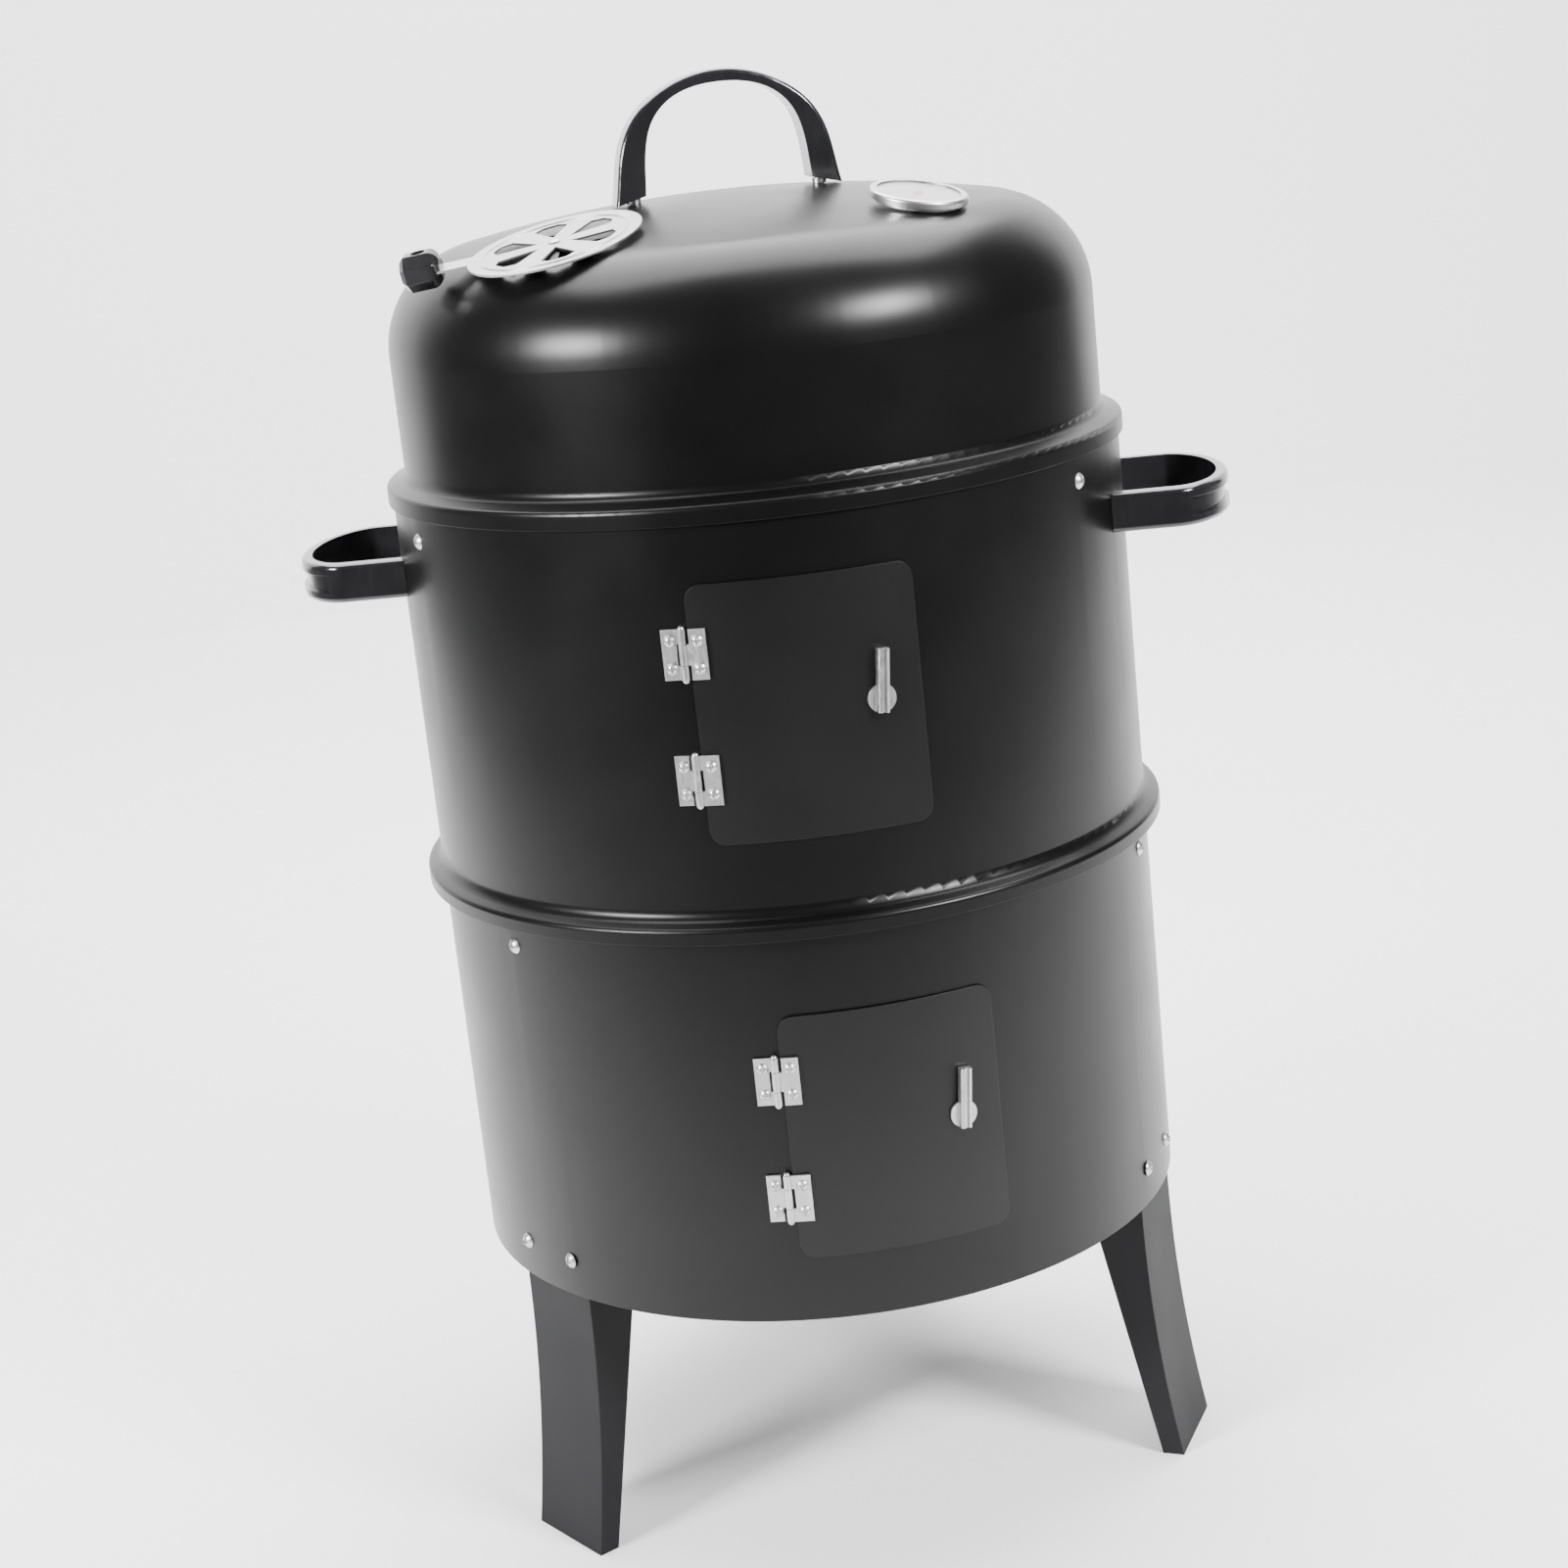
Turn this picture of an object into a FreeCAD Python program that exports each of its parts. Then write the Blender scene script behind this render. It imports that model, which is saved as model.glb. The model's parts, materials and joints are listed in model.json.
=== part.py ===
"""Vertical water smoker: a lid, two stacked barrels with doors, bowls, grates and three legs.

Frame: millimetres, +Z up, the barrels' axis on Z, the floor at z = 0 and the front towards -Y.
An azimuth is in degrees about Z: 0 is the front and +90 is the +X side.
A piece is drawn in a seat frame (x along the wall, -y outward, z up) and then turned to its azimuth.
"""
import FreeCAD, Part
import math
import os

# ---------------------------------------------------------------- driving dimensions
SHEET = 1.0                      # enamelled steel of the lid, barrels and doors
GAP = 0.3                        # free space between pieces that only rest on each other
DRILL = 15.0                     # half the length of a cutter that drills through one wall
THIRDS = (-60.0, 60.0, 180.0)    # azimuths of the three legs and of each barrel's three brackets

BARREL_R = 190.0                 # outside of both barrels
BARREL_BOTTOM_Z = 144.0
LOWER_TOP_Z = 354.4
SKIRT_R = 198.0                  # flared foot of the upper barrel
SKIRT_Z = 345.5
SKIRT_TOP_Z = 353.0              # where the flare starts to turn in
SKIRT_NECK_Z = 357.0             # where it meets the barrel
UPPER_TOP_Z = 557.6
BEAD_R = 2.0                     # rolled top edge of a barrel

LID_WALL_R = 182.2
LID_RIM_R = 192.5
LID_RIM_Z = 548.5
LID_RIM_TOP_Z = 557.0            # where the rim starts to turn in
LID_NECK_Z = 561.5               # where it meets the lid's wall
LID_WALL_TOP_Z = 621.8
LID_SHOULDER_R = 52.0
LID_CAP_R = 726.0

UPPER_TURN = -12.0               # the upper barrel stands turned on the lower one
LOWER_BRACKET_TURN = 2.0
LID_TURN = 2.0

DOOR_W = 108.0                   # along the arc
DOOR_H = 127.0
DOOR_CORNER_R = 8.0
DOOR_GAP = 0.4
DOOR_LAP = 9.0                   # how far a door covers the wall round its opening
UPPER_DOOR_AZ = -3.3
UPPER_DOOR_Z = 457.0
LOWER_DOOR_AZ = 3.2
LOWER_DOOR_Z = 241.5

HINGE_H = 24.5
HINGE_PITCH = 61.5
HINGE_FIXED_W = 10.4
HINGE_DOOR_W = 11.6
HINGE_T = 1.2
KNUCKLE_R = 2.0
KNUCKLE_GAP = 0.25
KNUCKLE_RELIEF = 1.3              # how far a leaf stands back from the other leaf's knuckles
MIDDLE_KNUCKLE = 10.0
PIN_R = 1.0
PIN_BORE_R = 1.06
PIN_HEAD_R = 1.7
PIN_FROM_DOOR = 3.2              # from the door's edge, along the arc
SCREW_R = 1.4
SCREW_HOLE_R = 1.5
SCREW_HEAD_R = 3.0
SCREW_HEAD_H = 1.7
SCREW_RISE = 6.75                # from the middle of its hinge
DOOR_SCREW_LENGTH = 2.1
WALL_SCREW_LENGTH = 7.0

LATCH_FROM_DOOR_CENTRE = 33.3
LATCH_LEAN = 5.0                 # the lever's tip leans this far to the right of upright
LATCH_DISC_R = 7.0
LATCH_DISC_T = 1.4
LATCH_REACH = 24.3
LATCH_GRIP_W = 6.0
LATCH_GRIP_H = 5.4
LATCH_RIDGE_R = 1.8
LATCH_GROOVE_W = 2.0
LATCH_GROOVE_DEPTH = 1.3
SPINDLE_R = 3.0
SPINDLE_BORE_R = 3.1
SPINDLE_TAIL_R = 1.9
SPINDLE_TAIL_LENGTH = 7.0
CAM_FACE_R = 187.2               # outer face of the cam, behind the wall
CAM_LENGTH = 21.0
CAM_HALF_W = 5.0
CAM_T = 1.55

LEG_W = 56.0
LEG_T = 1.5
LEG_TOP_Z = 184.0
LEG_FACE_R = 186.7
LEG_FOOT_R = 200.0
LEG_DEPTH_TOP = 29.0
LEG_DEPTH_FOOT = 11.5
LEG_BOLT_Z = 163.5
LEG_BOLT_X = 19.7
LEG_AZIMUTHS = dict(zip(("leg_left", "leg_right", "leg_rear"), THIRDS))

BRACKET_W = 20.0
BRACKET_T = 1.5
BRACKET_BOLT_DROP = 21.3         # below the barrel's top edge
BRACKET_UP = 7.5                 # from the bolt to the upper tab's face
BRACKET_DOWN = 19.0              # from the bolt to the lower tab's face
UPPER_TAB_R = 168.0
LOWER_TAB_R = 162.0

BOLT_R = 2.45
BOLT_HOLE_R = 2.6
BOLT_HEAD_R = 4.1
BOLT_HEAD_H = 2.4
BOLT_LENGTH = 11.0
NUT_BORE_R = 2.5
NUT_FLATS = 8.0
NUT_H = 4.0

GRATE_R = 169.5                  # centre line of the rim wire
GRATE_RIM_WIRE_R = 2.5
GRATE_BAR_R = 1.7
GRATE_BAR_RISE = 1.2             # bars over the rim's centre line
GRATE_PITCH = 12.0
CROSS_BAR_R = 2.0
CROSS_BAR_Y = 70.0
CROSS_BAR_DROP = 0.6             # cross bars under the rim's centre line

WATER_RIM_R = 166.0
WATER_BODY_R = 158.0
WATER_DEPTH = 84.0
CHARCOAL_RIM_R = 171.0
CHARCOAL_BODY_R = 152.0
CHARCOAL_DEPTH = 72.0
BOWL_FOOT_R = 118.0

SIDE_HANDLE_Z = 511.5
SIDE_HANDLE_H = 20.0
SIDE_HANDLE_HALF = 58.0
SIDE_HANDLE_ARM = 8.0
SIDE_HANDLE_TIP_R = 245.0
SIDE_HANDLE_BEND_R = 214.0       # where the straight arms end
SIDE_HANDLE_TIP_T = 6.0
SIDE_HANDLE_EDGE_R = 2.6
SIDE_GROOVE_W = 9.0              # hollow along the outer face of the loop
SIDE_GROOVE_DEPTH = 2.2
HANDLE_SCREW_AZ = 16.0           # each screw from the handle's middle
HANDLE_SCREW_R = 1.9
HANDLE_PILOT_R = 1.95
HANDLE_HOLE_R = 2.2

LID_HANDLE_DEPTH = 20.0
LID_HANDLE_SEAT_Z = 687.8        # where each foot bears on its spacer
LID_HANDLE_OUTSIDE = ((58.9, 685.0), (56.2, 700.0), (53.0, 714.0), (46.8, 726.0), (35.4, 736.6),
                      (19.2, 744.6), (0.0, 747.7))      # half width and height, from foot to crown
LID_HANDLE_INSIDE = ((43.2, 689.0), (42.3, 700.0), (40.6, 713.0), (36.8, 724.2), (29.2, 733.2),
                     (16.0, 739.6), (0.0, 741.4))
LID_HANDLE_EDGE_R = 2.2
LID_SCREW_X = 48.5
LID_SCREW_R = 2.3
LID_SCREW_HOLE_R = 2.6
LID_SCREW_PILOT_R = 2.4
LID_SPACER_R = 3.7
LID_WASHER_R = 6.0

VENT_R = 130.0                   # rivet from the axis
VENT_AZ = -50.3
VENT_LEAN = 13.5
VENT_DISC_R = 43.6
VENT_DISC_T = 1.0
VENT_DISC_Z = 1.3
VENT_HOLES = 6
VENT_HOLE_AZ = 15.0              # the damper's first hole
VENT_HOLE_TURN = 9.0             # the lid's holes ahead of the damper's, at rest
VENT_KITE = ((9.0, 0.0), (28.0, 8.6), (32.5, 4.0), (32.5, -4.0), (28.0, -8.6), (9.0, 0.0))
LID_KITE = ((12.0, 0.0), (28.0, 5.8), (31.5, 2.8), (31.5, -2.8), (28.0, -5.8), (12.0, 0.0))
VENT_RING_R = 37.4
VENT_RING_W = 1.2
RIVET_R = 2.0
RIVET_BORE_R = 2.08
VENT_TAB_ANGLE = -148.0
VENT_TAB_HALF_W = 7.0
VENT_KNOB_REACH = 67.0
KNOB_FLATS = 18.0
KNOB_LENGTH = 19.5
KNOB_CHAMFER = 2.6               # at the outer end
KNOB_ROUND = 5.5                 # at the end towards the plate
KNOB_RISE = 1.2                  # of the knob's middle over the tab's

GAUGE_R = 124.0                  # thermometer from the axis
GAUGE_AZ = 37.9
GAUGE_BEZEL_R = 24.5
GAUGE_TILT = 4.0                 # leans this much more than the dome under it
GAUGE_BASE_Z = 1.2               # underside of the case, over the dome
GAUGE_CASE_R = 22.0
GAUGE_STEM_R = 3.0
GAUGE_STEM_LENGTH = 46.0
GAUGE_THREAD_LENGTH = 14.0
POINTER_LENGTH = 17.5
POINTER_TURN = 205.0

UP = FreeCAD.Vector(0, 0, 1)
ALONG = FreeCAD.Vector(1, 0, 0)
ORIGIN = FreeCAD.Vector(0, 0, 0)


# ---------------------------------------------------------------- derived dimensions
def arc_degrees(length):
    """The angle that a length along the barrel's wall spans."""
    return math.degrees(length / BARREL_R)


PIN_AZ = -arc_degrees(DOOR_W / 2 + PIN_FROM_DOOR)       # from the door's middle
LATCH_AZ = arc_degrees(LATCH_FROM_DOOR_CENTRE)
HINGE_HEIGHTS = (HINGE_PITCH / 2, -HINGE_PITCH / 2)
HINGE_PIN_R = BARREL_R + 0.15 + KNUCKLE_R               # the pins' distance from the barrels' axis
DOOR_FACE_R = BARREL_R + DOOR_GAP + SHEET
DOOR_LEAF_BACK = HINGE_PIN_R - DOOR_FACE_R - 0.1
FIXED_LEAF_BACK = KNUCKLE_R
DOOR_SCREW_ALONG = (HINGE_DOOR_W + KNUCKLE_R + 1) / 2   # from the pin
FIXED_SCREW_ALONG = -(HINGE_FIXED_W + KNUCKLE_R) / 2
LATCH_FACE_R = DOOR_FACE_R + 0.15

LOWER_BOLT_Z = LOWER_TOP_Z - BRACKET_BOLT_DROP
UPPER_BOLT_Z = UPPER_TOP_Z - BRACKET_BOLT_DROP
BRACKET_BACK_R = BARREL_R - SHEET - GAP
BRACKET_NUT_FACE_R = BRACKET_BACK_R - BRACKET_T
LEG_NUT_FACE_R = LEG_FACE_R - LEG_T

SHOULDER_CENTRE_R = LID_WALL_R - LID_SHOULDER_R
CAP_CENTRE_Z = LID_WALL_TOP_Z - math.sqrt((LID_CAP_R - LID_SHOULDER_R) ** 2 - SHOULDER_CENTRE_R ** 2)
LID_TOP_Z = CAP_CENTRE_Z + LID_CAP_R
GAUGE_LEAN = math.degrees(math.asin(GAUGE_R / LID_CAP_R)) + GAUGE_TILT
GAUGE_DIAL_Z = GAUGE_BASE_Z + 2.55
GAUGE_POINTER_Z = GAUGE_DIAL_Z + 0.6
GAUGE_LENS_Z = GAUGE_POINTER_Z + 0.85
GAUGE_TOP_Z = GAUGE_LENS_Z + 1.55
DAMPER_TOP_Z = VENT_DISC_Z + VENT_DISC_T


# ---------------------------------------------------------------- small tools
def vec(x, y, z):
    return FreeCAD.Vector(x, y, z)


def turned(shape, azimuth):
    """A copy turned about the barrels' axis."""
    copy = shape.copy()
    copy.rotate(ORIGIN, UP, azimuth)
    return copy


def seated(shape, radius, azimuth, height, lean=0.0, along=0.0):
    """A shape drawn about the origin, leant outward, moved out to its radius and turned to its azimuth."""
    copy = shape.copy()
    copy.rotate(ORIGIN, ALONG, lean)
    copy.translate(vec(along, -radius, height))
    return turned(copy, azimuth)


def cylinder(radius, low, high, x=0.0, y=0.0):
    return Part.makeCylinder(radius, high - low, vec(x, y, low))


def box(x0, x1, y0, y1, z0, z1):
    return Part.makeBox(x1 - x0, y1 - y0, z1 - z0, vec(x0, y0, z0))


def tube(outer, inner, low, high):
    return cylinder(outer, low, high).cut(cylinder(inner, low - 1, high + 1))


def joined(shapes):
    """One fused, cleaned solid."""
    whole = shapes[0]
    if len(shapes) > 1:
        whole = whole.multiFuse(shapes[1:])
    return whole.removeSplitter()


def group(shapes):
    return Part.makeCompound(shapes)


def section_point(r, z):
    return vec(r, 0, z)


def unit(dr, dz):
    length = math.hypot(dr, dz)
    return dr / length, dz / length


def rounded_path(corners):
    """Edges in the XZ plane through corners (r, z, fillet radius), with an arc at each filleted corner."""
    edges = []
    last = corners[0][:2]
    for before, here, after in zip(corners, corners[1:], corners[2:]):
        r, z, fillet = here
        if fillet <= 0:
            edges.append(Part.makeLine(section_point(*last), section_point(r, z)))
            last = (r, z)
            continue
        back = unit(before[0] - r, before[1] - z)
        ahead = unit(after[0] - r, after[1] - z)
        half = math.acos(back[0] * ahead[0] + back[1] * ahead[1]) / 2
        reach = fillet / math.tan(half)
        start = (r + back[0] * reach, z + back[1] * reach)
        end = (r + ahead[0] * reach, z + ahead[1] * reach)
        middle = unit(back[0] + ahead[0], back[1] + ahead[1])
        rise = fillet / math.sin(half) - fillet
        crown = (r + middle[0] * rise, z + middle[1] * rise)
        edges.append(Part.makeLine(section_point(*last), section_point(*start)))
        edges.append(Part.Arc(section_point(*start), section_point(*crown), section_point(*end)).toShape())
        last = end
    edges.append(Part.makeLine(section_point(*last), section_point(*corners[-1][:2])))
    return edges


def inset(corners, depth):
    """The corners of the line that runs at a depth to the left of a path of corners (r, z, fillet)."""
    moved = []
    count = len(corners)
    for i, (r, z, fillet) in enumerate(corners):
        ways = []
        if i > 0:
            ways.append(unit(r - corners[i - 1][0], z - corners[i - 1][1]))
        if i < count - 1:
            ways.append(unit(corners[i + 1][0] - r, corners[i + 1][1] - z))
        first, last = ways[0], ways[-1]
        share = 1 + first[0] * last[0] + first[1] * last[1]
        side_r = -(first[1] + last[1]) / share
        side_z = (first[0] + last[0]) / share
        turn_left = first[0] * last[1] - first[1] * last[0] > 0
        kept = max(fillet + (-depth if turn_left else depth), 0.2) if fillet > 0 else 0
        moved.append((r + side_r * depth, z + side_z * depth, kept))
    return moved


def revolved(edges):
    """The solid swept by a closed outline of edges in the XZ plane."""
    wire = Part.Wire(Part.__sortEdges__(edges))
    return Part.Face(wire).revolve(ORIGIN, UP, 360)


def sheet_ring(corners):
    """A ring of sheet metal whose outer face follows the corners."""
    inner = inset(corners, SHEET)
    outer_edges = rounded_path(corners)
    inner_edges = rounded_path(inner)
    start = Part.makeLine(section_point(*corners[0][:2]), section_point(*inner[0][:2]))
    end = Part.makeLine(section_point(*corners[-1][:2]), section_point(*inner[-1][:2]))
    return revolved(outer_edges + [end] + inner_edges + [start])


def rounded_plate(width, height, corner, y0, y1):
    """A plate with rounded corners, centred on the origin, standing in the XZ plane."""
    plate = box(-width / 2, width / 2, y0, y1, -height / 2, height / 2)
    upright = [e for e in plate.Edges if abs(e.tangentAt(e.FirstParameter).y) > 0.99]
    return plate.makeFillet(corner, upright)


# ---------------------------------------------------------------- fasteners
def cross_slot(radius, top, depth):
    """The cross recess of a screw head."""
    half = 0.45
    reach = radius * 0.55
    bar = box(-reach, reach, -half, half, top - depth, top + 1)
    return bar.fuse(box(-half, half, -reach, reach, top - depth, top + 1))


def pan_screw(head_r, head_h, shaft_r, length):
    """A screw pointing down, the underside of its domed head at z = 0."""
    rise = (head_r * head_r + head_h * head_h) / (2 * head_h)
    dome = Part.makeSphere(rise, vec(0, 0, head_h - rise)).common(cylinder(head_r, 0, head_h))
    return joined([dome, cylinder(shaft_r, -length, 0.5)]).cut(cross_slot(head_r, head_h, head_h * 0.5))


def nut(low, bore=NUT_BORE_R, flats=NUT_FLATS, height=NUT_H):
    """A hexagon nut from low upward."""
    corner = flats / math.sqrt(3)
    points = [vec(corner * math.cos(math.radians(a)), corner * math.sin(math.radians(a)), low)
              for a in range(0, 361, 60)]
    prism = Part.Face(Part.makePolygon(points)).extrude(vec(0, 0, height))
    return prism.cut(cylinder(bore, low - 1, low + height + 1))


def wall_holes(radius, places):
    """Drills through a wall: places are (azimuth, height, along)."""
    drill = cylinder(radius, -DRILL, DRILL)
    return [seated(drill, BARREL_R, azimuth, height, lean=90, along=along)
            for azimuth, height, along in places]


# ---------------------------------------------------------------- barrels
def bead(top_z):
    """The rolled top edge."""
    return Part.makeTorus(BARREL_R - BEAD_R, BEAD_R, vec(0, 0, top_z - BEAD_R))


def door_way(azimuth, height):
    """The opening behind a door, as a cutter."""
    width = DOOR_W - 2 * DOOR_LAP
    cutter = rounded_plate(width, DOOR_H - 2 * DOOR_LAP, DOOR_CORNER_R, -DRILL, DRILL)
    return seated(cutter, BARREL_R, azimuth, height)


def hinge_screw_places(azimuth, height):
    """The screws of the two fixed leaves."""
    return [(azimuth + PIN_AZ, height + hinge + rise, FIXED_SCREW_ALONG)
            for hinge in HINGE_HEIGHTS for rise in (SCREW_RISE, -SCREW_RISE)]


def lower_barrel():
    wall = tube(BARREL_R, BARREL_R - SHEET, BARREL_BOTTOM_Z, LOWER_TOP_Z - BEAD_R)
    shell = joined([wall, bead(LOWER_TOP_Z)])
    cutters = [door_way(LOWER_DOOR_AZ, LOWER_DOOR_Z)]
    cutters += wall_holes(BOLT_HOLE_R, lower_bracket_places())
    cutters += wall_holes(BOLT_HOLE_R, leg_bolt_places())
    cutters += wall_holes(SCREW_HOLE_R, hinge_screw_places(LOWER_DOOR_AZ, LOWER_DOOR_Z))
    return shell.cut(cutters)


def upper_barrel():
    skirt = [(SKIRT_R, SKIRT_Z, 0), (SKIRT_R, SKIRT_TOP_Z, 2.6), (BARREL_R, SKIRT_NECK_Z, 6.0),
             (BARREL_R, UPPER_TOP_Z - BEAD_R, 0)]
    shell = joined([sheet_ring(skirt), bead(UPPER_TOP_Z)])
    cutters = [door_way(UPPER_DOOR_AZ, UPPER_DOOR_Z)]
    cutters += wall_holes(BOLT_HOLE_R, upper_bracket_places())
    cutters += wall_holes(SCREW_HOLE_R, hinge_screw_places(UPPER_DOOR_AZ, UPPER_DOOR_Z))
    cutters += wall_holes(HANDLE_HOLE_R, handle_screw_places())
    return shell.cut(cutters)


def lower_bracket_places():
    return [(LOWER_BRACKET_TURN + third, LOWER_BOLT_Z, 0) for third in THIRDS]


def upper_bracket_places():
    return [(UPPER_TURN + third, UPPER_BOLT_Z, 0) for third in THIRDS]


def leg_bolt_places():
    return [(azimuth, LEG_BOLT_Z, side * LEG_BOLT_X)
            for azimuth in LEG_AZIMUTHS.values() for side in (-1, 1)]


def bolts(places):
    """Bolts from outside, their heads just clear of the wall's bulge."""
    items = []
    for azimuth, height, along in places:
        face = math.sqrt(BARREL_R ** 2 - max(abs(along) - BOLT_HEAD_R, 0) ** 2) + 0.05
        bolt = pan_screw(BOLT_HEAD_R, BOLT_HEAD_H, BOLT_R, BOLT_LENGTH)
        items.append(seated(bolt, face, azimuth, height, 90, along))
    return group(items)


def nuts(places, inner_face):
    return group([seated(nut(-NUT_H), inner_face, azimuth, height, 90, along)
                  for azimuth, height, along in places])


def bracket(bolt_z):
    """A C-shaped bracket: the upper tab carries the grate and the longer lower tab carries a bowl."""
    back = -BRACKET_BACK_R
    top = bolt_z + BRACKET_UP
    shelf = bolt_z - BRACKET_DOWN
    half = BRACKET_W / 2
    plate = box(-half, half, back, back + BRACKET_T, shelf - BRACKET_T, top)
    upper_tab = box(-half, half, back, -UPPER_TAB_R, top - BRACKET_T, top)
    lower_tab = box(-half, half, back, -LOWER_TAB_R, shelf - BRACKET_T, shelf)
    hole = seated(cylinder(BOLT_HOLE_R, -DRILL, DRILL), BARREL_R, 0, bolt_z, 90)
    return joined([plate, upper_tab, lower_tab]).cut(hole)


def brackets(places):
    return group([turned(bracket(height), azimuth) for azimuth, height, _ in places])


# ---------------------------------------------------------------- legs
def leg_side(outer_shift, depth_top, depth_foot, low, high):
    """The side outline of a leg, in the YZ plane: straight in the barrel, then curving outward."""
    top = LEG_FACE_R - outer_shift
    foot = LEG_FOOT_R - outer_shift
    drop = BARREL_BOTTOM_Z
    bow_r = (drop ** 2 + (foot - top) ** 2) / (2 * (foot - top))
    half_drop = drop / 2
    mid = top + bow_r - math.sqrt(bow_r ** 2 - half_drop ** 2)
    outer = Part.Arc(vec(0, -top, drop), vec(0, -mid, drop - half_drop), vec(0, -foot, 0)).toShape()
    points = [vec(0, -foot, 0), vec(0, -foot, low), vec(0, -foot + depth_foot, low),
              vec(0, -foot + depth_foot, 0), vec(0, -top + depth_top, drop), vec(0, -top + depth_top, high),
              vec(0, -top, high), vec(0, -top, drop)]
    lines = [Part.makeLine(a, b) for a, b in zip(points, points[1:]) if a.distanceToPoint(b) > 0.001]
    return Part.Face(Part.Wire(Part.__sortEdges__(lines + [outer])))


def leg(azimuth):
    """A U-shaped leg: its web outward, its side flanges deep in the barrel and shallow at the foot."""
    body = leg_side(0, LEG_DEPTH_TOP, LEG_DEPTH_FOOT, 0, LEG_TOP_Z).extrude(vec(LEG_W, 0, 0))
    body.translate(vec(-LEG_W / 2, 0, 0))
    inner_w = LEG_W - 2 * LEG_T
    pocket = leg_side(LEG_T, LEG_DEPTH_TOP + 5, LEG_DEPTH_FOOT + 5, -5, LEG_TOP_Z + 5)
    pocket = pocket.extrude(vec(inner_w, 0, 0))
    pocket.translate(vec(-inner_w / 2, 0, 0))
    shape = body.cut(pocket)
    for side in (-1, 1):
        drill = cylinder(BOLT_HOLE_R, -DRILL, DRILL)
        shape = shape.cut(seated(drill, BARREL_R, 0, LEG_BOLT_Z, 90, side * LEG_BOLT_X))
    return turned(shape, azimuth)


# ---------------------------------------------------------------- doors, hinges and latches
def door_panel(azimuth, height):
    inner = BARREL_R + DOOR_GAP
    skin = tube(inner + SHEET, inner, -DOOR_H, DOOR_H)
    window = rounded_plate(DOOR_W, DOOR_H, DOOR_CORNER_R, -DRILL, DRILL)
    window.translate(vec(0, -inner, 0))
    panel = skin.common(window)
    cutters = [seated(cylinder(SPINDLE_BORE_R, -DRILL, DRILL), inner, LATCH_AZ, 0, 90)]
    drill = cylinder(SCREW_HOLE_R, -DRILL, DRILL)
    for hinge in HINGE_HEIGHTS:
        for rise in (SCREW_RISE, -SCREW_RISE):
            cutters.append(seated(drill, inner, PIN_AZ, hinge + rise, 90, DOOR_SCREW_ALONG))
    panel = panel.cut(cutters)
    panel.translate(vec(0, 0, height))
    return turned(panel, azimuth)


def knuckle_spans(outer):
    """Heights of a leaf's knuckles: the two outer ones or the middle one."""
    half = HINGE_H / 2
    middle = MIDDLE_KNUCKLE / 2
    if outer:
        return [(-half, -middle - KNUCKLE_GAP), (middle + KNUCKLE_GAP, half)]
    return [(-middle, middle)]


def leaf(side, width, back, outer):
    """A hinge leaf about a pin on Z: side +1 lies on the door, -1 on the barrel. back is its rear face."""
    half = HINGE_H / 2
    x0, x1 = sorted((0.0, side * width))
    plate = box(x0, x1, back - HINGE_T, back, -half, half)
    for low, high in knuckle_spans(not outer):
        plate = plate.cut(cylinder(KNUCKLE_R + KNUCKLE_RELIEF, low - KNUCKLE_GAP, high + KNUCKLE_GAP))
    knuckles = [cylinder(KNUCKLE_R, low, high) for low, high in knuckle_spans(outer)]
    shape = joined([plate] + knuckles).cut(cylinder(PIN_BORE_R, -half - 1, half + 1))
    along = DOOR_SCREW_ALONG if side > 0 else FIXED_SCREW_ALONG
    drill = cylinder(SCREW_HOLE_R, -DRILL, DRILL)
    return shape.cut([seated(drill, 0, 0, rise, 90, along) for rise in (SCREW_RISE, -SCREW_RISE)])


def leaves(azimuth, height, side):
    """The two leaves of one door's hinges on one side; the lower hinge is fitted upside down."""
    width = HINGE_DOOR_W if side > 0 else HINGE_FIXED_W
    back = DOOR_LEAF_BACK if side > 0 else FIXED_LEAF_BACK
    items = []
    for hinge in HINGE_HEIGHTS:
        outer = (side < 0) == (hinge > 0)
        items.append(seated(leaf(side, width, back, outer), HINGE_PIN_R, azimuth + PIN_AZ, height + hinge))
    return group(items)


def hinge_pins(azimuth, height):
    """Pins with a domed head at each end."""
    half = HINGE_H / 2 + 0.1
    head = Part.makeSphere(PIN_HEAD_R).common(cylinder(PIN_HEAD_R, 0, PIN_HEAD_R))
    top = head.copy()
    top.translate(vec(0, 0, half))
    bottom = head.mirror(ORIGIN, UP)
    bottom.translate(vec(0, 0, -half))
    pin = joined([cylinder(PIN_R, -half - 0.5, half + 0.5), top, bottom])
    return group([seated(pin, HINGE_PIN_R, azimuth + PIN_AZ, height + hinge) for hinge in HINGE_HEIGHTS])


def hinge_screws(azimuth, height, side):
    back = DOOR_LEAF_BACK if side > 0 else FIXED_LEAF_BACK
    length = DOOR_SCREW_LENGTH if side > 0 else WALL_SCREW_LENGTH
    along = DOOR_SCREW_ALONG if side > 0 else FIXED_SCREW_ALONG
    face = HINGE_PIN_R - back + HINGE_T + 0.02
    screw = pan_screw(SCREW_HEAD_R, SCREW_HEAD_H, SCREW_R, length)
    return group([seated(screw, face, azimuth + PIN_AZ, height + hinge + rise, 90, along)
                  for hinge in HINGE_HEIGHTS for rise in (-SCREW_RISE, SCREW_RISE)])


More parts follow.
